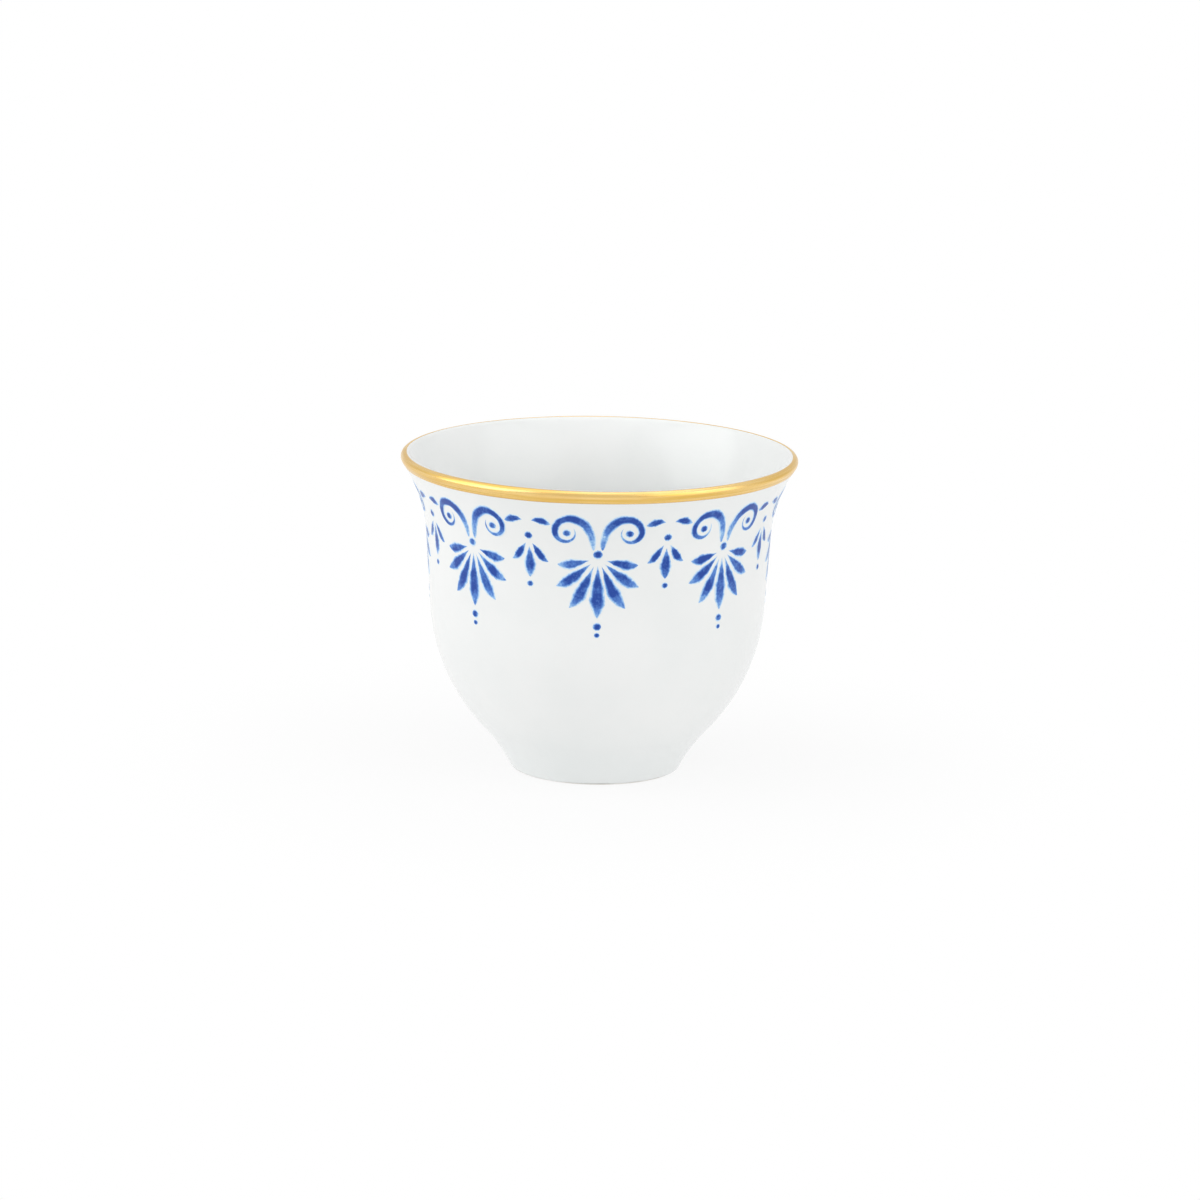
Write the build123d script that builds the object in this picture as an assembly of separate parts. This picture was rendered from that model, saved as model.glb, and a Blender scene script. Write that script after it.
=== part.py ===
from build123d import *
import os
from math import copysign, cos, pi, radians, sin, sqrt, tan

# Handleless Arabic coffee cup in millimetres. It stands on z = 0 with its axis on +Z.
# Every outline is the finished cup's section, drawn as (radius, height) on one side of the axis.

# Heights and radii of the finished outside
cup_height = 58.1
rim_radius = 35.85
waist_radius = 31.15
waist_height = 43.0
belly_radius = 30.4
belly_height = 30.2
belly_overhang = 9.6
neck_height = 8.0
foot_radius = 15.25

# Walls, floor and foot ring
lip_thickness = 1.76
wall_thickness = 2.3
floor_thickness = 3.1
floor_corner_radius = 11.0
heel_thickness = 6.61
recess_depth = 2.2
recess_corner_radius = 1.0
foot_ring_width = 3.6
foot_ring_draft = 12.0
foot_edge_radius = 1.05
foot_inner_edge_radius = 0.85

# Fired coats
glaze_thickness = 0.2
glaze_line_height = 0.3
gold_thickness = 0.06
gold_drop_outside = 2.2
gold_past_crown = 0.1
ink_thickness = 0.06

# Frieze of palmettes and buds, drawn about a root point for a half pitch of 12 and then scaled
# to the real pitch. A stroke leaves its start at a heading in degrees from +X, and turn_in and
# turn_out are how fast it turns there and at its tip, in degrees over its whole length.
repeat_count = 8
frieze_drop = 12.0
drawn_half_pitch = 12.0
fan_drop = 0.8
fan_gap = 1.5
fan_spread = 26.0
centre_petal = dict(start=(0, -2.0), heading=-90, length=9.8, width=2.85, belly=1.45)
fan_turn = dict(turn_in=-22, turn_out=62, belly=1.45)
fan_sizes = [(9.0, 2.4), (7.6, 2.25), (5.8, 2.0)]
volute = dict(
    start=(0.8, 0.8), heading=88, length=19.0, width=1.8, turn_in=-60, turn_out=-740, belly=0.62
)
volute_leaf = dict(
    start=(8.5, 5.45), heading=12, length=3.6, width=1.5, turn_in=60, turn_out=-150, belly=0.9
)
palmette_dots = [((0, 0), 0.85), ((0, -13.3), 0.75), ((0, -14.9), 0.5)]
volute_eye_radius = 0.75
bud_petal = dict(start=(0, 1.0), heading=-90, length=5.8, width=2.3, belly=1.35)
bud_sepal = dict(
    start=(0.6, 1.5), heading=-48, length=4.4, width=1.55, turn_in=-60, turn_out=120, belly=1.2
)
bud_dots = [((0, 3.0), 0.75), ((0, -6.0), 0.6)]
stroke_fullness = 0.85
stroke_step = 1.0

lip_radius = lip_thickness / 2
lip_centre = Vector(rim_radius - lip_radius, cup_height - lip_radius)
pitch_angle = 360 / repeat_count
frieze_root = cup_height - frieze_drop
neck_radius = belly_radius - belly_overhang
floor_height = recess_depth + floor_thickness
frieze_scale = waist_radius * sin(radians(pitch_angle / 2)) / drawn_half_pitch
reach = 2 * (rim_radius + cup_height)

# The straight wall, the bowl's arcs below it, outside and inside, and the foot's flank
belly = Vector(belly_radius, belly_height)
waist = Vector(waist_radius, waist_height)
neck = Vector(neck_radius, neck_height)
upward = (waist - belly).normalized()
outward = Vector(upward.Y, -upward.X)
floor_corner = Vector(neck_radius - heel_thickness, floor_height)
bowl = TangentArc(belly, neck, tangent=-upward)
bowl_within = TangentArc(belly - outward * wall_thickness, floor_corner, tangent=-upward)
flank = TangentArc(neck, (foot_radius, 0), tangent=bowl % 1)
# 1 for a flank that hollows the foot in, -1 for one that bulges it out
flank_side = copysign(1, (flank.arc_center - neck).dot(neck - bowl.arc_center))


def lip_touch(wall_point, side, round_radius):
    """Point where an arc that leaves the wall tangentially touches the lip's round.

    The arc's centre lies on the wall's outward normal. side is 1 for the arc outside the wall,
    whose circle stays outside the round, and -1 for the arc inside, whose circle holds it.
    """
    apart = wall_point - lip_centre
    bend = 2 * (side * round_radius - apart.dot(outward)) / (apart.dot(apart) - round_radius**2)
    return lip_centre + (outward + apart * bend).normalized() * (side * round_radius)


def section(depth):
    """Right half of the cup's section at a depth below its finished surface.

    Every arc keeps its centre at every depth, so that coats drawn this way lie face to face.
    """
    belly_outside = belly - outward * depth
    waist_outside = waist - outward * depth
    belly_within = belly - outward * (wall_thickness - depth)
    waist_within = waist - outward * (wall_thickness - depth)
    neck_outside = neck + (bowl.arc_center - neck).normalized() * depth
    foot_outer = arc_meets(flank, flank.radius + flank_side * depth, depth, -flank_side)
    floor_edge = arc_meets(bowl_within, bowl_within.radius + depth, floor_height - depth, 1)
    draft = radians(foot_ring_draft)
    recess_side = foot_radius - foot_ring_width + depth / cos(draft)
    foot_inner = Vector(recess_side - depth * tan(draft), depth)
    recess_corner = Vector(recess_side - (recess_depth + depth) * tan(draft), recess_depth + depth)
    floor_middle = (0, floor_height - depth)
    recess_middle = (0, recess_depth + depth)

    lip_round = lip_radius - depth
    flare = TangentArc(waist_outside, lip_touch(waist_outside, 1, lip_round), tangent=upward)
    lip = TangentArc(flare @ 1, lip_touch(waist_within, -1, lip_round), tangent=flare % 1)
    bowl_edge = TangentArc(belly_outside, neck_outside, tangent=-upward)
    edges = [
        bowl_edge,
        TangentArc(neck_outside, foot_outer, tangent=bowl_edge % 1),
        Line(belly_outside, waist_outside),
        flare,
        lip,
        TangentArc(lip @ 1, waist_within, tangent=lip % 1),
        Line(waist_within, belly_within),
        TangentArc(belly_within, floor_edge, tangent=-upward),
        Line(floor_edge, floor_middle),
        Line(floor_middle, recess_middle),
        Line(recess_middle, recess_corner),
        Line(recess_corner, foot_inner),
        Line(foot_inner, foot_outer),
    ]
    face = round_corner(make_face(edges), floor_edge, floor_corner_radius + depth)
    face = round_corner(face, recess_corner, recess_corner_radius + depth)
    face = round_corner(face, foot_outer, foot_edge_radius - depth)
    return round_corner(face, foot_inner, foot_inner_edge_radius - depth)


def arc_meets(arc, radius, height, side):
    """Where a circle about an arc's centre meets a height, on its outer (1) or inner (-1) side."""
    centre = arc.arc_center
    return Vector(centre.X + side * sqrt(radius**2 - (centre.Y - height) ** 2), height)


def round_corner(face, corner, radius):
    """Fillet the face's vertex that lies at the given corner."""
    return fillet(face.vertices().sort_by_distance(corner)[0], radius)


def window(left, right, bottom, top):
    """Rectangle between two radii and two heights, for cutting sections."""
    return Pos((left + right) / 2, (bottom + top) / 2) * Rectangle(right - left, top - bottom)


def spun(face):
    """Solid of revolution of a section about the cup's axis."""
    return revolve(Plane.XZ * face, axis=Axis.Z)


# Fired body: the section one coat deep, and full size on the bare edge of the foot
finished = section(0)
body = section(glaze_thickness) + (finished & window(0, reach, 0, glaze_line_height))

# Glaze: what is left of the finished section, parted in two by the bare edge of the foot
coats = (finished - body).faces().sort_by(SortBy.AREA)

# Gold: a film on the outside of the lip, to just past its crown
gold_window = window(lip_centre.X - gold_past_crown, reach, cup_height - gold_drop_outside, reach)
gold = (section(-gold_thickness) - finished) & gold_window

# Ink: a film on the outside wall, between the glaze line and the gold
ink_window = window(0, reach, glaze_line_height, cup_height - gold_drop_outside)
ink = ((section(-ink_thickness) - finished) & ink_window).faces().sort_by(Axis.X)[-1]


def on_frieze(x, z):
    """Point of the drawing, scaled to the pitch and set below the rim."""
    return Vector(x * frieze_scale, frieze_root + z * frieze_scale)


def spine(start, heading, length, turn_in, turn_out, steps):
    """Points (x, z, angle) of a curve whose turning changes steadily from start to tip."""
    x, z = start
    points = []
    for step in range(steps + 1):
        s = step / steps
        points.append((x, z, radians(heading + turn_in * s + (turn_out - turn_in) * s**2 / 2)))
        s += 0.5 / steps
        middle = radians(heading + turn_in * s + (turn_out - turn_in) * s**2 / 2)
        x += cos(middle) * length / steps
        z += sin(middle) * length / steps
    return points


def stroke(start, heading, length, width, belly, turn_in=0, turn_out=0):
    """Face of a brush stroke: its edges stand off the spine by a sine that swells and tapers."""
    steps = max(8, round(length / stroke_step))
    points = spine(start, heading, length, turn_in, turn_out, steps)
    edges = []
    for side in (1, -1):
        edge = []
        for step, (x, z, angle) in enumerate(points):
            swell = max(sin(pi * (step / steps) ** belly), 0) ** stroke_fullness
            off = side * width / 2 * swell
            edge.append(on_frieze(x - sin(angle) * off, z + cos(angle) * off))
        edges.append(Spline(edge))
    return make_face(edges)


def dot(centre, radius):
    """Face of a round dot."""
    return Pos(on_frieze(*centre)) * Circle(radius * frieze_scale)


def both_hands(face):
    """The face and its mirror image across the motif's axis."""
    return [face, mirror(face, about=Plane.YZ)]


def palmette():
    """Faces of a palmette hung from two volutes, with a leaf beyond each and drops below."""
    faces = [stroke(**centre_petal)]
    for place, (length, width) in enumerate(fan_sizes, start=1):
        heading = place * fan_spread - 90
        start = (fan_gap * cos(radians(heading)), fan_gap * sin(radians(heading)) - fan_drop)
        faces += both_hands(stroke(start, heading, length, width, **fan_turn))
    faces += both_hands(stroke(**volute)) + both_hands(stroke(**volute_leaf))
    faces += both_hands(dot(volute_eye(), volute_eye_radius))
    return faces + [dot(centre, radius) for centre, radius in palmette_dots]


def volute_eye():
    """Centre of the circle that the volute's tip turns on."""
    path = {key: volute[key] for key in ("start", "heading", "length", "turn_in", "turn_out")}
    x, z, angle = spine(**path, steps=round(volute["length"] / stroke_step))[-1]
    turn_radius = volute["length"] / radians(volute["turn_out"])
    return x - sin(angle) * turn_radius, z + cos(angle) * turn_radius


def bud():
    """Faces of a closed bud between two sepals, with a dot above and below."""
    faces = [stroke(**bud_petal)] + both_hands(stroke(**bud_sepal))
    return faces + [dot(centre, radius) for centre, radius in bud_dots]


def printed(face, film):
    """The film where it lies in front of a flat face on the plane through the axis."""
    return (film & extrude(Plane.XZ * face, reach, dir=(0, -1, 0))).solids()


film = spun(ink)
transfer = [piece for face in palmette() for piece in printed(face, film)]
bud_turn = Rot(0, 0, pitch_angle / 2)
transfer += [bud_turn * piece for face in bud() for piece in printed(face, film)]

nodes = {
    "porcelain_body": spun(body),
    "glaze_coat": spun(coats[-1]),
    "underside_glaze": spun(coats[0]),
    "gold_rim_band": spun(gold),
}
for place in range(repeat_count):
    turn = Rot(0, 0, place * pitch_angle)
    nodes[f"blue_transfer_{place + 1}"] = Compound([turn * piece for piece in transfer])

os.makedirs("parts", exist_ok=True)
for name, shape in nodes.items():
    export_step(shape, f"parts/{name}.step")
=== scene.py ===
import math

import bpy
import numpy as np
from mathutils import Matrix, Vector


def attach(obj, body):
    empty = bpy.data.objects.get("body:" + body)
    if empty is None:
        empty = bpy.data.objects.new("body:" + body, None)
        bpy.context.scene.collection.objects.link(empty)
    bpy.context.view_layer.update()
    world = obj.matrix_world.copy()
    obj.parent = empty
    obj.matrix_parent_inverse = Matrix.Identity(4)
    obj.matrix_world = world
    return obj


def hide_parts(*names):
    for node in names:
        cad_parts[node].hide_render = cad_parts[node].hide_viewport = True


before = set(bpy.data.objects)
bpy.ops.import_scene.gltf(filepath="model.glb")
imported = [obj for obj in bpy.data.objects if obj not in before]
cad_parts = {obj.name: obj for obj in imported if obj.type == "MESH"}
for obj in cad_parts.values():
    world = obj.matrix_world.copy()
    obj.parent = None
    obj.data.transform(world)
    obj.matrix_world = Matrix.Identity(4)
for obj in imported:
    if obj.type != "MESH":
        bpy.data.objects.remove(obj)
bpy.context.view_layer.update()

# A handleless coffee cup: glazed porcelain with a gilded lip and a cobalt frieze.
# Lengths are metres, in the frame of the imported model: the cup's axis is +Z and it stands on z = 0.
MM = 0.001

# Finished outline, as (radius, height)
CUP_HEIGHT = 58.1 * MM
RIM_RADIUS = 35.85 * MM
WAIST = np.array([31.15, 43.0]) * MM
BELLY = np.array([30.4, 30.2]) * MM
NECK = np.array([20.8, 8.0]) * MM
FOOT_CORNER = np.array([15.25, 0.0]) * MM
FOOT_EDGE_RADIUS = 1.05 * MM
FOOT_INNER_EDGE_RADIUS = 0.85 * MM
LIP_RADIUS = 0.88 * MM
WALL = 2.3 * MM
FLOOR_HEIGHT = 5.3 * MM
FLOOR_CORNER_RADIUS = 11.0 * MM
RECESS_HEIGHT = 2.2 * MM
RECESS_RADIUS = 11.18 * MM
RECESS_DRAFT = math.radians(12.0)
RECESS_CORNER_RADIUS = 1.0 * MM

# Fired coats
GLAZE = 0.2 * MM
GLAZE_LINE = 0.3 * MM
GLAZE_LINE_WANDER = 0.1 * MM
GLAZE_LINE_REACH = 0.5 * MM
GOLD = 0.06 * MM
GOLD_DROP_OUTSIDE = 2.2 * MM
GOLD_PAST_CROWN = 0.1 * MM
GOLD_EDGE_WANDER = 0.05 * MM
INK = 0.06 * MM
INK_SUNK = 0.012 * MM

# Mesh density
AROUND = 240
GOLD_ROWS = 41
OUTLINE_STEP = 0.45 * MM
INTERFACE_STEP = 2.5 * MM

# Slight unevenness that firing leaves in a turned wall: height, waves round, waves per metre up
RIPPLES = [(0.030 * MM, 2, 9.0, 0.4), (0.018 * MM, 3, -21.0, 1.9), (0.010 * MM, 5, 34.0, 4.1)]

# Frieze: one drawing about a root point, repeated round the cup
REPEATS = 8
PITCH = 2 * math.pi / REPEATS
FRIEZE_ROOT = CUP_HEIGHT - 12.0 * MM
DRAWN_HALF_PITCH = 12.0
FRIEZE_SCALE = WAIST[0] * math.sin(PITCH / 2) / DRAWN_HALF_PITCH
FAN_DROP = 0.8
FAN_GAP = 1.5
FAN_SPREAD = 26.0
FAN_SIZES = [(9.0, 2.4), (7.6, 2.25), (5.8, 2.0)]
FAN_TURN = dict(turn_in=-22, turn_out=62, belly=1.45)
CENTRE_PETAL = dict(start=(0, -2.0), heading=-90, length=9.8, width=2.85, belly=1.45)
VOLUTE = dict(
    start=(0.8, 0.8), heading=88, length=19.0, width=1.8, turn_in=-60, turn_out=-740, belly=0.62
)
VOLUTE_LEAF = dict(
    start=(8.5, 5.45), heading=12, length=3.6, width=1.5, turn_in=60, turn_out=-150, belly=0.9
)
VOLUTE_EYE_RADIUS = 0.75
PALMETTE_DOTS = [((0, 0), 0.85), ((0, -13.3), 0.75), ((0, -14.9), 0.5)]
BUD_PETAL = dict(start=(0, 1.0), heading=-90, length=5.8, width=2.3, belly=1.35)
BUD_SEPAL = dict(
    start=(0.6, 1.5), heading=-48, length=4.4, width=1.55, turn_in=-60, turn_out=120, belly=1.2
)
BUD_DOTS = [((0, 3.0), 0.75), ((0, -6.0), 0.6)]
STROKE_FULLNESS = 0.85
EDGE_WAVER = 0.05
INK_CROWN = 0.4
FULL_INK_HALF_WIDTH = 0.25
THINNEST_INK = 0.2
STROKE_ROWS = 56
STROKE_SECTION = 16

# Camera that took the photograph, and where the cup's middle falls in its 1200 pixel frame
PHOTO_PIXELS = 1200
CAMERA_ELEVATION = math.radians(12.80)
CAMERA_DISTANCE = 1.049
CAMERA_TARGET = Vector((0, 0, 29.18 * MM))
CAMERA_ROLL = math.radians(0.957)
FOCAL_PIXELS = 5767.8
TARGET_PIXEL = (597.1, 608.94)
SENSOR_WIDTH = 36.0


# Outline of the finished cup

def unit(vector):
    """The vector at length one."""
    return vector / np.linalg.norm(vector)


def arc(centre, start, end, step=OUTLINE_STEP):
    """Points on a circle about centre from start to end, the short way round, one step apart."""
    radius = np.linalg.norm(start - centre)
    first = math.atan2(*(start - centre)[::-1])
    turn = math.remainder(math.atan2(*(end - centre)[::-1]) - first, 2 * math.pi)
    count = max(3, math.ceil(abs(turn) * radius / step))
    angle = first + turn * np.linspace(0, 1, count + 1)
    return centre + radius * np.stack([np.cos(angle), np.sin(angle)], 1)


def run(start, end, step=OUTLINE_STEP):
    """Points on a straight line from start to end, one step apart."""
    count = max(1, math.ceil(np.linalg.norm(end - start) / step))
    return start + (end - start) * np.linspace(0, 1, count + 1)[:, None]


def joined(*runs):
    """Runs of points laid end to end, with each shared end kept once."""
    return np.concatenate([runs[0]] + [points[1:] for points in runs[1:]])


def lip_tangent(wall_point, outward, side, lip_centre):
    """Centre of the arc that leaves the wall tangentially and touches the lip's round, and the touch.

    The arc's centre lies on the wall's outward normal; side is 1 outside the wall and -1 inside it.
    """
    apart = wall_point - lip_centre
    reach = (apart @ apart - LIP_RADIUS**2) / (2 * (side * LIP_RADIUS - apart @ outward))
    centre = wall_point + outward * reach
    return centre, lip_centre + unit(centre - lip_centre) * side * LIP_RADIUS


def cup_outline():
    """Outside and inside of the finished cup: tangent arcs and lines from the foot's edge, up the
    outside, over the lip and down the inside to the middle of the floor."""
    upward = unit(WAIST - BELLY)
    outward = np.array([upward[1], -upward[0]])
    bowl_radius = (NECK - BELLY) @ (NECK - BELLY) / (2 * (BELLY - NECK) @ outward)
    bowl_centre = BELLY - outward * bowl_radius

    from_bowl = unit(NECK - bowl_centre)
    to_neck = NECK - FOOT_CORNER
    flank_radius = -(to_neck @ to_neck) / (2 * to_neck @ from_bowl)
    flank_centre = NECK + from_bowl * flank_radius
    across = (flank_radius + FOOT_EDGE_RADIUS) ** 2 - (FOOT_EDGE_RADIUS - flank_centre[1]) ** 2
    edge_centre = np.array([flank_centre[0] - math.sqrt(across), FOOT_EDGE_RADIUS])
    edge_top = flank_centre + unit(edge_centre - flank_centre) * flank_radius
    edge_low = FOOT_EDGE_RADIUS - GLAZE_LINE
    edge_out = math.sqrt(FOOT_EDGE_RADIUS**2 - edge_low**2)
    glaze_start = edge_centre + np.array([edge_out, -edge_low])

    lip_centre = np.array([RIM_RADIUS, CUP_HEIGHT]) - LIP_RADIUS
    waist_inside = WAIST - outward * WALL
    belly_inside = BELLY - outward * WALL
    flare_centre, touch_outside = lip_tangent(WAIST, outward, 1, lip_centre)
    inner_centre, touch_inside = lip_tangent(waist_inside, outward, -1, lip_centre)
    beyond = touch_outside - lip_centre
    lip_top = lip_centre + np.array([-beyond[1], beyond[0]])

    inside_radius = bowl_radius - WALL
    corner_height = FLOOR_HEIGHT + FLOOR_CORNER_RADIUS
    corner_reach = (inside_radius - FLOOR_CORNER_RADIUS) ** 2 - (corner_height - bowl_centre[1]) ** 2
    corner_centre = np.array([bowl_centre[0] + math.sqrt(corner_reach), corner_height])
    corner_top = bowl_centre + unit(corner_centre - bowl_centre) * inside_radius
    floor_edge = np.array([corner_centre[0], FLOOR_HEIGHT])

    return joined(
        arc(edge_centre, glaze_start, edge_top),
        arc(flank_centre, edge_top, NECK),
        arc(bowl_centre, NECK, BELLY),
        run(BELLY, WAIST),
        arc(flare_centre, WAIST, touch_outside),
        arc(lip_centre, touch_outside, lip_top, OUTLINE_STEP / 3),
        arc(lip_centre, lip_top, touch_inside, OUTLINE_STEP / 3),
        arc(inner_centre, touch_inside, waist_inside),
        run(waist_inside, belly_inside),
        arc(bowl_centre, belly_inside, corner_top),
        arc(corner_centre, corner_top, floor_edge),
        run(floor_edge, np.array([0.0, FLOOR_HEIGHT])),
    )


def facing(points):
    """Outward normals of an outline: its direction of travel turned a quarter to the right."""
    travel = np.gradient(points, axis=0)
    travel /= np.linalg.norm(travel, axis=1, keepdims=True)
    return np.stack([travel[:, 1], -travel[:, 0]], 1)


def thinned(points, step):
    """Every so many points of an outline, about one step apart, with both ends kept."""
    count = max(2, round(len(points) * OUTLINE_STEP / step))
    return points[np.unique(np.linspace(0, len(points) - 1, count).astype(int))]


def ripple(angle, height):
    """How far the wall stands out of true: a few low waves round the cup and up it."""
    return sum(a * np.sin(n * angle + k * height * 2 * math.pi + p) for a, n, k, p in RIPPLES)


OUTLINE = cup_outline()
OUTLINE_FACING = facing(OUTLINE)
TOP_ROW = int(np.argmax(OUTLINE[:, 1]))


# Meshes

def finish_piece(name, points, faces, material, node_names):
    """Object of a closed mesh, smooth but for sharp corners, that stands for CAD nodes."""
    mesh = bpy.data.meshes.new(name)
    mesh.from_pydata(points.tolist(), [], faces)
    mesh.polygons.foreach_set("use_smooth", np.ones(len(mesh.polygons), bool))
    mesh.set_sharp_from_angle(angle=math.radians(50))
    mesh.materials.append(material)
    piece = bpy.data.objects.new(name, mesh)
    bpy.context.scene.collection.objects.link(piece)
    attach(piece, "root")
    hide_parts(*node_names)
    return piece


def ring_quads(rows, around, closed):
    """Faces of a grid of rings, each row joined to the next, and the last to the first if closed."""
    row = np.arange(rows if closed else rows - 1)[:, None]
    column = np.arange(around)
    nearby = (column + 1) % around
    after = (row + 1) % rows
    here = row * around
    there = after * around
    corners = [here + column, here + nearby, there + nearby, there + column]
    return np.stack(corners, -1).reshape(-1, 4)


def capped_rings(rows, around):
    """Faces of a grid of rings closed by a fan at each end: the rings' points, then the two ends."""
    column = np.arange(around)
    nearby = (column + 1) % around
    first_end = rows * around
    last_ring = first_end - around
    first_fan = np.stack([np.full(around, first_end), nearby, column], 1)
    last_end = np.full(around, first_end + 1)
    last_fan = np.stack([last_ring + column, last_ring + nearby, last_end], 1)
    return ring_quads(rows, around, False).tolist() + first_fan.tolist() + last_fan.tolist()


def spun_points(radius, height, angle):
    """Points at a radius and height, turned about the axis by an angle from -Y."""
    places = [radius * np.sin(angle), -radius * np.cos(angle), height + 0 * angle]
    return np.stack(places, -1).reshape(-1, 3)


def spun_with_poles(name, radius, height, material, node_names):
    """Turned piece: rings of a profile that starts and ends on the axis, with one point at each end."""
    rows, around = radius.shape
    angle = np.linspace(0, 2 * math.pi, around, endpoint=False)
    rings = spun_points(radius[1:-1], height[1:-1], angle)
    poles = np.array([[0, 0, height[0, 0]], [0, 0, height[-1, 0]]])
    points = np.concatenate([rings, poles])
    return finish_piece(name, points, capped_rings(rows - 2, around), material, node_names)


def glazed_wall(material):
    """The main coat: the cup's outline with its ripples, and back along the clay one coat deeper.

    Near the foot the outline's first rows rise and fall with a wandering glaze line.
    """
    clay = thinned(OUTLINE - OUTLINE_FACING * GLAZE, INTERFACE_STEP)[::-1]
    clay[0, 0] = 0.0
    profile = np.concatenate([clay, OUTLINE])
    angle = np.linspace(0, 2 * math.pi, AROUND, endpoint=False)
    radius = np.repeat(profile[:, :1], AROUND, 1)
    height = np.repeat(profile[:, 1:], AROUND, 1)
    skin = slice(len(clay), len(profile))
    slope = np.abs(OUTLINE_FACING[:, :1]) * np.clip(OUTLINE[:, :1] / NECK[0], 0, 1)
    radius[skin] += ripple(angle, height[skin]) * slope
    wander = np.sin(3 * angle + 0.7) + 0.6 * np.sin(7 * angle + 2.1) + 0.4 * np.sin(16 * angle)
    near_line = np.exp(-((height - GLAZE_LINE) / GLAZE_LINE_REACH) ** 2) * (radius > RECESS_RADIUS)
    height += GLAZE_LINE_WANDER / 2 * wander * near_line
    return spun_with_poles("glazed_wall", radius, height, material, ["glaze_coat"])


def base_glaze(material):
    """The coat in the foot's recess: its ceiling, round corner, side and the foot ring's inner edge,
    down to the glaze line, and back one coat deeper."""
    lean = np.array([math.sin(RECESS_DRAFT), -math.cos(RECESS_DRAFT)])
    to_clay = np.array([math.cos(RECESS_DRAFT), math.sin(RECESS_DRAFT)])
    corner = np.array([RECESS_RADIUS, RECESS_HEIGHT])
    tangent = RECESS_CORNER_RADIUS * math.tan((math.pi / 2 - RECESS_DRAFT) / 2)
    ceiling_end = corner - np.array([tangent, 0])
    side_start = corner + lean * tangent
    corner_centre = ceiling_end - np.array([0, RECESS_CORNER_RADIUS])
    side_height = RECESS_HEIGHT - FOOT_INNER_EDGE_RADIUS * (1 - to_clay[1])
    side_end = corner + lean * side_height / to_clay[0]
    edge_centre = side_end + to_clay * FOOT_INNER_EDGE_RADIUS
    edge_low = FOOT_INNER_EDGE_RADIUS - GLAZE_LINE
    edge_in = math.sqrt(FOOT_INNER_EDGE_RADIUS**2 - edge_low**2)
    glaze_end = edge_centre - np.array([edge_in, edge_low])
    skin = joined(
        run(np.array([0, RECESS_HEIGHT]), ceiling_end),
        arc(corner_centre, ceiling_end, side_start, OUTLINE_STEP / 2),
        run(side_start, side_end, OUTLINE_STEP / 2),
        arc(edge_centre, side_end, glaze_end, OUTLINE_STEP / 3),
    )
    clay = (skin - facing(skin) * GLAZE)[::-1]
    clay[-1, 0] = 0.0
    profile = np.concatenate([skin, clay])
    radius = np.repeat(profile[:, :1], AROUND, 1)
    height = np.repeat(profile[:, 1:], AROUND, 1)
    return spun_with_poles("base_glaze", radius, height, material, ["underside_glaze"])


def gilded_lip(material):
    """The gold: a film up the outside of the lip to just past its crown, whose edges wander a little.

    Across the band the film's depth is the fourth root of a parabola, so that it is flat between
    its edges; it closes on the glaze below.
    """
    travel = np.concatenate([[0], np.cumsum(np.linalg.norm(np.diff(OUTLINE, axis=0), axis=1))])
    outside = np.interp(CUP_HEIGHT - GOLD_DROP_OUTSIDE, OUTLINE[:TOP_ROW, 1], travel[:TOP_ROW])
    crown = RIM_RADIUS - LIP_RADIUS
    inside = np.interp(GOLD_PAST_CROWN - crown, -OUTLINE[TOP_ROW:, 0], travel[TOP_ROW:])
    angle = np.linspace(0, 2 * math.pi, AROUND, endpoint=False)
    wander = np.sin(2 * angle + 0.3) + 0.7 * np.sin(5 * angle + 1.2) + 0.4 * np.sin(11 * angle + 2.0)
    low = outside + GOLD_EDGE_WANDER * wander
    high = inside + GOLD_EDGE_WANDER * np.roll(wander, AROUND // 3)
    share = np.linspace(0, 1, GOLD_ROWS)[:, None]
    place = low + (high - low) * share
    radius = np.interp(place, travel, OUTLINE[:, 0])
    height = np.interp(place, travel, OUTLINE[:, 1])
    out = np.interp(place, travel, OUTLINE_FACING[:, 0])
    up = np.interp(place, travel, OUTLINE_FACING[:, 1])
    radius = radius + ripple(angle, height) * np.abs(out)
    depth = GOLD * (4 * share * (1 - share)) ** 0.25
    sunk = -INK_SUNK * (4 * share * (1 - share))
    radius = np.concatenate([radius + out * depth, (radius + out * sunk)[-2:0:-1]])
    height = np.concatenate([height + up * depth, (height + up * sunk)[-2:0:-1]])
    points = spun_points(radius, height, angle)
    faces = ring_quads(len(radius), AROUND, True).tolist()
    return finish_piece("gilded_lip", points, faces, material, ["gold_rim_band"])


# Frieze

def spine(start, heading, length, turn_in, turn_out, share):
    """Curve whose turning changes steadily from its start to its tip: x, z and angle at each share."""
    fine = np.linspace(0, 1, 801)
    middle = (fine[1:] + fine[:-1]) / 2

    def angle_at(s):
        return np.radians(heading + turn_in * s + (turn_out - turn_in) * s**2 / 2)

    step = length / (len(fine) - 1)
    x = np.concatenate([[0], np.cumsum(np.cos(angle_at(middle)))]) * step + start[0]
    z = np.concatenate([[0], np.cumsum(np.sin(angle_at(middle)))]) * step + start[1]
    return np.interp(share, fine, x), np.interp(share, fine, z), angle_at(share)


def stroke(start, heading, length, width, belly, turn_in=0, turn_out=0):
    """A brush stroke on the drawing: its spine, and a half width that swells and tapers as a sine."""
    share = (1 - np.cos(np.linspace(0, math.pi, STROKE_ROWS))) / 2
    x, z, angle = spine(start, heading, length, turn_in, turn_out, share)
    half = width / 2 * np.clip(np.sin(math.pi * share**belly), 0, 1) ** STROKE_FULLNESS
    return x, z, angle, half, share


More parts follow.
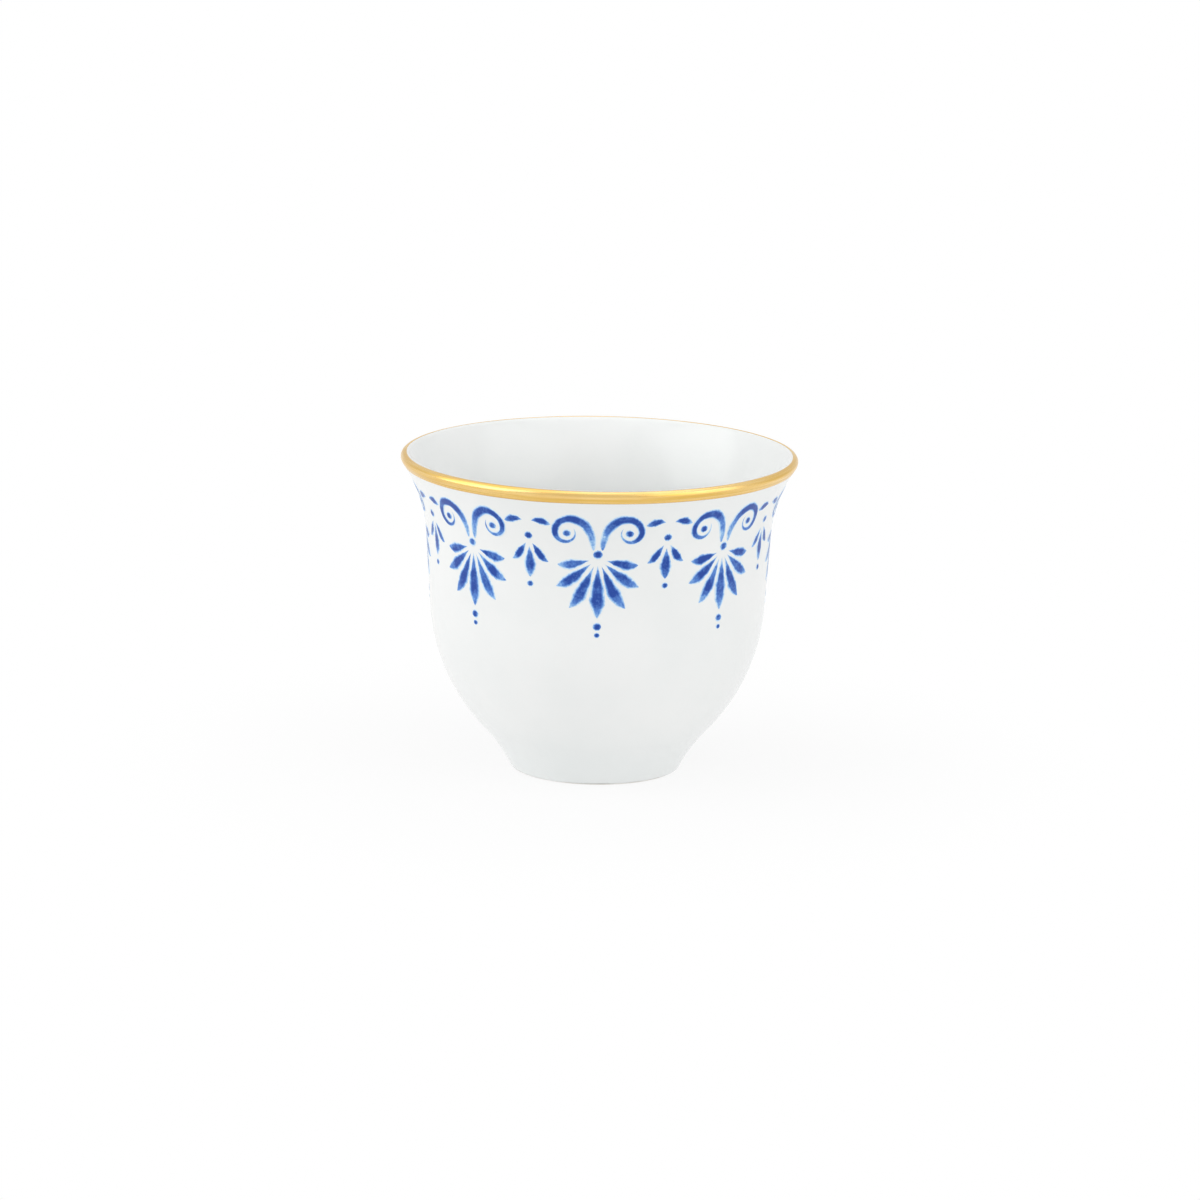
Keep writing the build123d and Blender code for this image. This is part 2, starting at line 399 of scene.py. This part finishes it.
def dot(centre, radius):
    """A round dot, as a stroke from side to side whose half width is a circle's."""
    turn = np.linspace(0, math.pi, STROKE_ROWS // 2)
    share = (1 - np.cos(turn)) / 2
    x = centre[0] - radius * np.cos(turn)
    return x, np.full_like(x, centre[1]), np.zeros_like(x), radius * np.sin(turn), share


def mirrored(drawn):
    """The stroke's mirror image across the motif's axis."""
    x, z, angle, half, share = drawn
    return -x, z, math.pi - angle, half, share


def both_hands(drawn):
    """A stroke and its mirror image."""
    return [drawn, mirrored(drawn)]


def volute_eye():
    """Centre of the circle that the volute's tip turns on."""
    path = {key: VOLUTE[key] for key in ("start", "heading", "length", "turn_in", "turn_out")}
    x, z, angle = spine(**path, share=np.array([1.0]))
    turn_radius = VOLUTE["length"] / math.radians(VOLUTE["turn_out"])
    return x[0] - math.sin(angle[0]) * turn_radius, z[0] + math.cos(angle[0]) * turn_radius


def palmette():
    """Strokes of a palmette hung from two volutes, with a leaf beyond each and drops below."""
    strokes = [stroke(**CENTRE_PETAL)]
    for place, (length, width) in enumerate(FAN_SIZES, start=1):
        heading = place * FAN_SPREAD - 90
        aim = math.radians(heading)
        start = (FAN_GAP * math.cos(aim), FAN_GAP * math.sin(aim) - FAN_DROP)
        strokes += both_hands(stroke(start, heading, length, width, **FAN_TURN))
    strokes += both_hands(stroke(**VOLUTE)) + both_hands(stroke(**VOLUTE_LEAF))
    strokes += both_hands(dot(volute_eye(), VOLUTE_EYE_RADIUS))
    return strokes + [dot(centre, radius) for centre, radius in PALMETTE_DOTS]


def bud():
    """Strokes of a closed bud between two sepals, with a dot above and below."""
    strokes = [stroke(**BUD_PETAL)] + both_hands(stroke(**BUD_SEPAL))
    return strokes + [dot(centre, radius) for centre, radius in BUD_DOTS]


def on_wall(x, z, lift, turn):
    """Points of the drawing thrown straight back on the wall, lifted off it and turned about the axis."""
    rising = OUTLINE[:TOP_ROW]
    height = FRIEZE_ROOT + z * FRIEZE_SCALE
    radius = np.interp(height, rising[:, 1], rising[:, 0])
    out = np.interp(height, rising[:, 1], OUTLINE_FACING[:TOP_ROW, 0])
    up = np.interp(height, rising[:, 1], OUTLINE_FACING[:TOP_ROW, 1])
    angle = np.arcsin(x * FRIEZE_SCALE / radius) + turn
    radius = radius + ripple(angle, height) * np.abs(out) + out * lift
    return np.stack([radius * np.sin(angle), -radius * np.cos(angle), height + up * lift], -1)


def ragged(share, across, phase):
    """How far a stroke's two edges waver from its drawn width: two waves along it on each side."""
    hand = phase + 2.0 * np.sign(across)
    return 1 + EDGE_WAVER * (np.sin(19 * share + 3 * hand) + 0.7 * np.sin(41 * share + 7 * hand))


def inked(drawn, turn, phase):
    """Closed mesh of one stroke: flat lens sections along it, with a point at each tip.

    Returns its points, faces, and each point's share along and place across the stroke.
    """
    x, z, angle, half, share = drawn
    rows = len(x)
    section = np.arange(STROKE_SECTION) * 2 * math.pi / STROKE_SECTION
    across = np.cos(section)
    rise = np.round(np.sin(section), 12)
    lift = np.where(rise > 0, INK * np.abs(rise) ** INK_CROWN, INK_SUNK * rise)
    inner = slice(1, rows - 1)
    taper = np.clip(half[inner] / FULL_INK_HALF_WIDTH, THINNEST_INK, 1)[:, None]
    off = half[inner, None] * across * ragged(share[inner, None], across, phase)
    px = x[inner, None] - np.sin(angle[inner, None]) * off
    pz = z[inner, None] + np.cos(angle[inner, None]) * off
    rings = on_wall(px, pz, lift * taper, turn).reshape(-1, 3)
    tips = on_wall(x[[0, -1]], z[[0, -1]], np.zeros(2), turn)
    faces = capped_rings(rows - 2, STROKE_SECTION)
    along = np.concatenate([np.repeat(share[inner], STROKE_SECTION), share[[0, -1]]])
    sideways = np.concatenate([np.tile(across, rows - 2), [0, 0]])
    return np.concatenate([rings, tips]), faces, along, sideways


def blue_transfer(place, material, random):
    """One repeat of the frieze: its palmette, and its bud half a pitch on, joined in one piece."""
    turn = place * PITCH
    drawn = [(shape, turn) for shape in palmette()] + [(shape, turn + PITCH / 2) for shape in bud()]
    points, faces, along, across, shade = [], [], [], [], []
    count = 0
    for shape, angle in drawn:
        tint = random.uniform(-1, 1)
        new_points, new_faces, new_along, new_across = inked(shape, angle, tint)
        points.append(new_points)
        faces += [[corner + count for corner in face] for face in new_faces]
        along.append(new_along)
        across.append(new_across)
        shade.append(np.full(len(new_points), tint))
        count += len(new_points)
    name = f"blue_print_{place + 1}"
    node_name = f"blue_transfer_{place + 1}"
    piece = finish_piece(name, np.concatenate(points), faces, material, [node_name])
    for label, values in (("along", along), ("across", across), ("shade", shade)):
        attribute = piece.data.attributes.new(label, "FLOAT", "POINT")
        attribute.data.foreach_set("value", np.concatenate(values).astype(np.float32))
    return piece


# Materials

def linear(red, green, blue):
    """Colour written as 0 to 255 on a screen, turned to linear light."""
    share = np.array([red, green, blue]) / 255
    light = np.where(share <= 0.04045, share / 12.92, ((share + 0.055) / 1.055) ** 2.4)
    return (*light.tolist(), 1.0)


def place_node(tree, kind, settings=None, **inputs):
    """Add a node, set its properties, and set or link its named input sockets."""
    node = tree.nodes.new("ShaderNode" + kind)
    for key, value in (settings or {}).items():
        setattr(node, key, value)
    for key, value in inputs.items():
        join(tree, value, node.inputs[key.replace("_", " ")])
    return node


def join(tree, value, socket):
    """Link a socket to a socket, or set a plain value on it."""
    if isinstance(value, bpy.types.NodeSocket):
        tree.links.new(value, socket)
    else:
        socket.default_value = value


def maths(tree, operation, *values, clamp=False):
    """Output of a Math node fed with values or sockets."""
    node = tree.nodes.new("ShaderNodeMath")
    node.operation = operation
    node.use_clamp = clamp
    for place, value in enumerate(values):
        join(tree, value, node.inputs[place])
    return node.outputs[0]


def spread(tree, value, low, high, to_low=0.0, to_high=1.0):
    """Output of a smooth Map Range node."""
    node = tree.nodes.new("ShaderNodeMapRange")
    node.interpolation_type = "SMOOTHSTEP"
    for place, number in enumerate((value, low, high, to_low, to_high)):
        join(tree, number, node.inputs[place])
    return node.outputs[0]


def blended(tree, share, first, second):
    """Output of a colour Mix node."""
    node = tree.nodes.new("ShaderNodeMix")
    node.data_type = "RGBA"
    join(tree, share, node.inputs[0])
    join(tree, first, node.inputs[6])
    join(tree, second, node.inputs[7])
    return node.outputs[2]


def noise(tree, coordinates, scale, detail=3.0, roughness=0.5):
    """Output of a noise texture, from 0 to 1."""
    fineness = dict(Scale=scale, Detail=detail, Roughness=roughness)
    return place_node(tree, "TexNoise", Vector=coordinates, **fineness).outputs["Fac"]


def new_material(name):
    """Material with its Principled shader, and Object coordinates to paint by."""
    material = bpy.data.materials.new(name)
    material.use_nodes = True
    tree = material.node_tree
    shader = tree.nodes["Principled BSDF"]
    coordinates = tree.nodes.new("ShaderNodeTexCoord").outputs["Object"]
    return material, tree, shader, coordinates


def orange_peel_group():
    """Group: the soft dimpling of a fired glassy coat, as a height, with a value that mottles it."""
    tree = bpy.data.node_groups.new("orange_peel", "ShaderNodeTree")
    tree.interface.new_socket("Coordinates", in_out="INPUT", socket_type="NodeSocketVector")
    tree.interface.new_socket("Dimples", in_out="INPUT", socket_type="NodeSocketFloat")
    tree.interface.new_socket("Height", in_out="OUTPUT", socket_type="NodeSocketFloat")
    tree.interface.new_socket("Mottle", in_out="OUTPUT", socket_type="NodeSocketFloat")
    given = tree.nodes.new("NodeGroupInput")
    result = tree.nodes.new("NodeGroupOutput")
    dimples = noise(tree, given.outputs["Coordinates"], given.outputs["Dimples"], 2.0)
    swells = noise(tree, given.outputs["Coordinates"], 130.0, 1.0)
    height = maths(tree, "ADD", maths(tree, "MULTIPLY", dimples, 0.35), swells)
    tree.links.new(height, result.inputs["Height"])
    tree.links.new(noise(tree, given.outputs["Coordinates"], 55.0, 4.0), result.inputs["Mottle"])
    return tree


def orange_peel(tree, coordinates, dimples):
    """The orange peel group placed in a material."""
    node = tree.nodes.new("ShaderNodeGroup")
    node.node_tree = bpy.data.node_groups["orange_peel"]
    join(tree, coordinates, node.inputs["Coordinates"])
    node.inputs["Dimples"].default_value = dimples
    return node.outputs


def bump(tree, shader, height, strength, distance):
    """Feed a height into the shader's normal."""
    node = place_node(tree, "Bump", Height=height, Strength=strength, Distance=distance)
    tree.links.new(node.outputs["Normal"], shader.inputs["Normal"])


def glaze_material():
    """Clear glaze on white porcelain: faint mottling, rare specks, a cool darker tint low down, partly
    its own, partly painted shade.
    """
    material, tree, shader, coordinates = new_material("clear_glaze_on_white")
    peel = orange_peel(tree, coordinates, 700.0)
    height = place_node(tree, "SeparateXYZ", Vector=coordinates).outputs["Z"]
    mottle = spread(tree, peel["Mottle"], 0.3, 0.7)
    body = blended(tree, mottle, linear(238, 240, 239), linear(242, 243, 242))
    # Cooler and darker below 16 mm, outside and in the well: partly the glaze's cool tint, partly painted
    # shade.
    cool_tint_and_shade = maths(tree, "MULTIPLY", spread(tree, height, 0.016, 0.003), 0.3)
    body = blended(tree, cool_tint_and_shade, body, linear(229, 235, 235))
    cells = place_node(tree, "TexVoronoi", Vector=coordinates, Scale=95.0)
    speck = spread(tree, cells.outputs["Distance"], 0.028, 0.012)
    chance = place_node(tree, "SeparateColor", Color=cells.outputs["Color"]).outputs["Red"]
    rare_speck = maths(tree, "MULTIPLY", speck, spread(tree, chance, 0.9, 0.93))
    body = blended(tree, maths(tree, "MULTIPLY", rare_speck, 0.3), body, linear(176, 170, 158))
    tree.links.new(body, shader.inputs["Base Color"])
    tree.links.new(spread(tree, peel["Mottle"], 0.2, 0.8, 0.16, 0.22), shader.inputs["Roughness"])
    shader.inputs["IOR"].default_value = 1.5
    bump(tree, shader, peel["Height"], 0.12, 0.0004)
    return material


def bare_porcelain_material():
    """Unglazed clay on the foot: dry and a little warm, ground in rings, rubbed grey where it stands."""
    material, tree, shader, coordinates = new_material("bare_porcelain")
    parts = place_node(tree, "SeparateXYZ", Vector=coordinates).outputs
    flat = place_node(tree, "CombineXYZ", X=parts["X"], Y=parts["Y"]).outputs["Vector"]
    radius = place_node(tree, "VectorMath", {"operation": "LENGTH"}, Vector=flat).outputs["Value"]
    rings = maths(tree, "SINE", maths(tree, "MULTIPLY", radius, 16000.0))
    grain = noise(tree, coordinates, 2600.0, 5.0, 0.7)
    blotch = noise(tree, coordinates, 240.0, 3.0)
    body = blended(tree, spread(tree, grain, 0.35, 0.7), linear(235, 232, 225), linear(243, 241, 236))
    low = spread(tree, parts["Z"], 0.35 * MM, 0.0)
    rubbed = maths(tree, "MULTIPLY", low, spread(tree, blotch, 0.42, 0.66))
    body = blended(tree, maths(tree, "MULTIPLY", rubbed, 0.4), body, linear(196, 190, 180))
    tree.links.new(body, shader.inputs["Base Color"])
    tree.links.new(spread(tree, blotch, 0.3, 0.7, 0.62, 0.8), shader.inputs["Roughness"])
    height = maths(tree, "ADD", grain, maths(tree, "MULTIPLY", rings, 0.08))
    bump(tree, shader, height, 0.35, 0.0001)
    return material


def gold_material():
    """Fired gold laid on with a banding brush: long streaks round the lip, redder at its low edge."""
    material, tree, shader, coordinates = new_material("fired_gold")
    stretched = place_node(tree, "Mapping", Vector=coordinates, Scale=(45.0, 45.0, 2600.0))
    streaks = noise(tree, stretched.outputs["Vector"], 1.0, 3.0, 0.6)
    clouds = noise(tree, coordinates, 110.0, 2.0)
    peel = orange_peel(tree, coordinates, 900.0)
    body = blended(tree, spread(tree, streaks, 0.3, 0.72), linear(229, 187, 94), linear(246, 212, 146))
    cloudy = maths(tree, "MULTIPLY", spread(tree, clouds, 0.5, 0.75), 0.3)
    body = blended(tree, cloudy, body, linear(222, 172, 80))
    height = place_node(tree, "SeparateXYZ", Vector=coordinates).outputs["Z"]
    low_edge = CUP_HEIGHT - GOLD_DROP_OUTSIDE
    thin = spread(tree, height, low_edge + 0.35 * MM, low_edge - 0.05 * MM)
    body = blended(tree, maths(tree, "MULTIPLY", thin, 0.5), body, linear(205, 150, 70))
    tree.links.new(body, shader.inputs["Base Color"])
    tree.links.new(spread(tree, streaks, 0.25, 0.75, 0.34, 0.2), shader.inputs["Roughness"])
    shader.inputs["Metallic"].default_value = 1.0
    bump(tree, shader, maths(tree, "ADD", streaks, peel["Height"]), 0.15, 0.00008)
    return material


def cobalt_material():
    """Cobalt transfer: dark where a stroke swells, paler to its edges and ends, a little grainy."""
    material, tree, shader, coordinates = new_material("cobalt_print")
    along = place_node(tree, "Attribute", {"attribute_name": "along"}).outputs["Fac"]
    across = place_node(tree, "Attribute", {"attribute_name": "across"}).outputs["Fac"]
    shade = place_node(tree, "Attribute", {"attribute_name": "shade"}).outputs["Fac"]
    grain = noise(tree, coordinates, 2400.0, 4.0, 0.65)
    wash = noise(tree, coordinates, 420.0, 3.0)
    side = maths(tree, "ABSOLUTE", across)
    inked_side = spread(tree, side, 1.0, 0.4)
    root = spread(tree, along, 0.0, 0.4, 0.3, 1.0)
    tail = spread(tree, along, 1.0, 0.6, 0.4, 1.0)
    tone = maths(tree, "MULTIPLY", inked_side, maths(tree, "MULTIPLY", root, tail))
    tone = maths(tree, "ADD", tone, maths(tree, "MULTIPLY", maths(tree, "SUBTRACT", wash, 0.5), 1.3))
    tone = maths(tree, "ADD", tone, maths(tree, "MULTIPLY", maths(tree, "SUBTRACT", grain, 0.5), 0.8))
    tone = maths(tree, "ADD", tone, maths(tree, "MULTIPLY", shade, 0.06), clamp=True)
    ramp = place_node(tree, "ValToRGB", Fac=tone)
    stops = [
        (0.0, (214, 234, 249)),
        (0.27, (154, 196, 239)),
        (0.58, (88, 136, 212)),
        (1.0, (32, 72, 160)),
    ]
    for place, (position, colour) in enumerate(stops):
        marks = ramp.color_ramp.elements
        mark = marks[place] if place < 2 else marks.new(position)
        mark.position = position
        mark.color = linear(*colour)
    tree.links.new(ramp.outputs["Color"], shader.inputs["Base Color"])
    tree.links.new(spread(tree, grain, 0.3, 0.7, 0.2, 0.28), shader.inputs["Roughness"])
    shader.inputs["Specular IOR Level"].default_value = 0.25
    peel = orange_peel(tree, coordinates, 700.0)
    bump(tree, shader, peel["Height"], 0.12, 0.0004)
    return material


# Stage, light and camera

def studio_floor():
    """White sweep under the cup: it takes the cup's shadow and fades to the white backdrop."""
    mesh = bpy.data.meshes.new("studio_floor")
    reach = 3.0
    low = -0.02 * MM
    corners = [(-reach, -reach, low), (reach, -reach, low), (reach, reach, low), (-reach, reach, low)]
    mesh.from_pydata(corners, [], [(0, 1, 2, 3)])
    floor = bpy.data.objects.new("studio_floor", mesh)
    bpy.context.scene.collection.objects.link(floor)
    material = bpy.data.materials.new("white_sweep")
    material.use_nodes = True
    tree = material.node_tree
    tree.nodes.remove(tree.nodes["Principled BSDF"])
    paper = place_node(tree, "BsdfDiffuse", Color=linear(240, 240, 240))
    white = place_node(tree, "Emission", Color=(1.0, 1.0, 1.0, 1.0), Strength=1.0)
    path = tree.nodes.new("ShaderNodeLightPath")
    seen = maths(tree, "MAXIMUM", path.outputs["Is Camera Ray"], path.outputs["Is Glossy Ray"])
    place = tree.nodes.new("ShaderNodeTexCoord").outputs["Object"]
    away = place_node(tree, "VectorMath", {"operation": "LENGTH"}, Vector=place).outputs["Value"]
    whiteness = spread(tree, away, 0.016, 0.1, 0.85, 1.0)
    glow = maths(tree, "MAXIMUM", maths(tree, "MULTIPLY", seen, whiteness), 0.4)
    mixed = place_node(tree, "MixShader", Fac=glow)
    tree.links.new(paper.outputs[0], mixed.inputs[1])
    tree.links.new(white.outputs[0], mixed.inputs[2])
    tree.links.new(mixed.outputs[0], tree.nodes["Material Output"].inputs["Surface"])
    mesh.materials.append(material)


def studio_world():
    """Soft light from all round, strongest from the front, and plain white where the camera looks."""
    world = bpy.data.worlds.new("studio_world")
    bpy.context.scene.world = world
    world.use_nodes = True
    tree = world.node_tree
    around = tree.nodes["Background"]
    around.inputs["Color"].default_value = (1.0, 1.0, 1.0, 1.0)
    direction = tree.nodes.new("ShaderNodeTexCoord").outputs["Generated"]
    backward = place_node(tree, "SeparateXYZ", Vector=direction).outputs["Y"]
    path = tree.nodes.new("ShaderNodeLightPath")
    reflected = maths(tree, "MULTIPLY", path.outputs["Is Glossy Ray"], 0.86)
    strength = maths(tree, "MAXIMUM", spread(tree, backward, -0.7, 0.7, 0.74, 0.38), reflected)
    join(tree, strength, around.inputs["Strength"])
    white = place_node(tree, "Background", Color=(1.0, 1.0, 1.0, 1.0), Strength=1.0)
    seen = maths(tree, "MAXIMUM", path.outputs["Is Camera Ray"], path.outputs["Is Transmission Ray"])
    mixed = place_node(tree, "MixShader", Fac=seen)
    tree.links.new(around.outputs[0], mixed.inputs[1])
    tree.links.new(white.outputs[0], mixed.inputs[2])
    tree.links.new(mixed.outputs[0], tree.nodes["World Output"].inputs["Surface"])


def soft_box(name, position, size, power):
    """Square area lamp that faces the cup."""
    lamp = bpy.data.lights.new(name, "AREA")
    lamp.shape = "SQUARE"
    lamp.size = size
    lamp.energy = power
    holder = bpy.data.objects.new(name, lamp)
    holder.location = position
    holder.rotation_euler = (CAMERA_TARGET - holder.location).to_track_quat("-Z", "Y").to_euler()
    bpy.context.scene.collection.objects.link(holder)


def photo_camera():
    """Camera of the photograph: its height, distance, lens, slight roll and framing."""
    data = bpy.data.cameras.new("photo_camera")
    data.sensor_width = SENSOR_WIDTH
    data.lens = FOCAL_PIXELS / PHOTO_PIXELS * SENSOR_WIDTH
    data.shift_x = 0.5 - TARGET_PIXEL[0] / PHOTO_PIXELS
    data.shift_y = TARGET_PIXEL[1] / PHOTO_PIXELS - 0.5
    data.clip_start = 0.01
    camera = bpy.data.objects.new("photo_camera", data)
    right = Vector((1, 0, 0))
    up = Vector((0, math.sin(CAMERA_ELEVATION), math.cos(CAMERA_ELEVATION)))
    back = Vector((0, -math.cos(CAMERA_ELEVATION), math.sin(CAMERA_ELEVATION)))
    aim = Matrix((right, up, back)).transposed().to_4x4()
    place = Matrix.Translation(CAMERA_TARGET + back * CAMERA_DISTANCE)
    camera.matrix_world = place @ aim @ Matrix.Rotation(CAMERA_ROLL, 4, "Z")
    bpy.context.scene.collection.objects.link(camera)
    bpy.context.scene.camera = camera


# Cup
orange_peel_group()
glaze = glaze_material()
glazed_wall(glaze)
base_glaze(glaze)
gilded_lip(gold_material())
cobalt = cobalt_material()
random = np.random.default_rng(7)
for repeat in range(REPEATS):
    blue_transfer(repeat, cobalt, random)
clay_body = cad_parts["porcelain_body"]
clay_body.data.materials.clear()
clay_body.data.materials.append(bare_porcelain_material())

# Studio
studio_floor()
studio_world()
soft_box("left_soft_box", Vector((-1.0, -0.22, 0.6)), 1.1, 5.2)
soft_box("right_soft_box", Vector((0.9, -0.5, 0.55)), 1.1, 3.4)
soft_box("top_soft_box", Vector((0.0, 0.1, 1.1)), 1.2, 3.0)
photo_camera()
bpy.context.scene.view_settings.view_transform = "Standard"
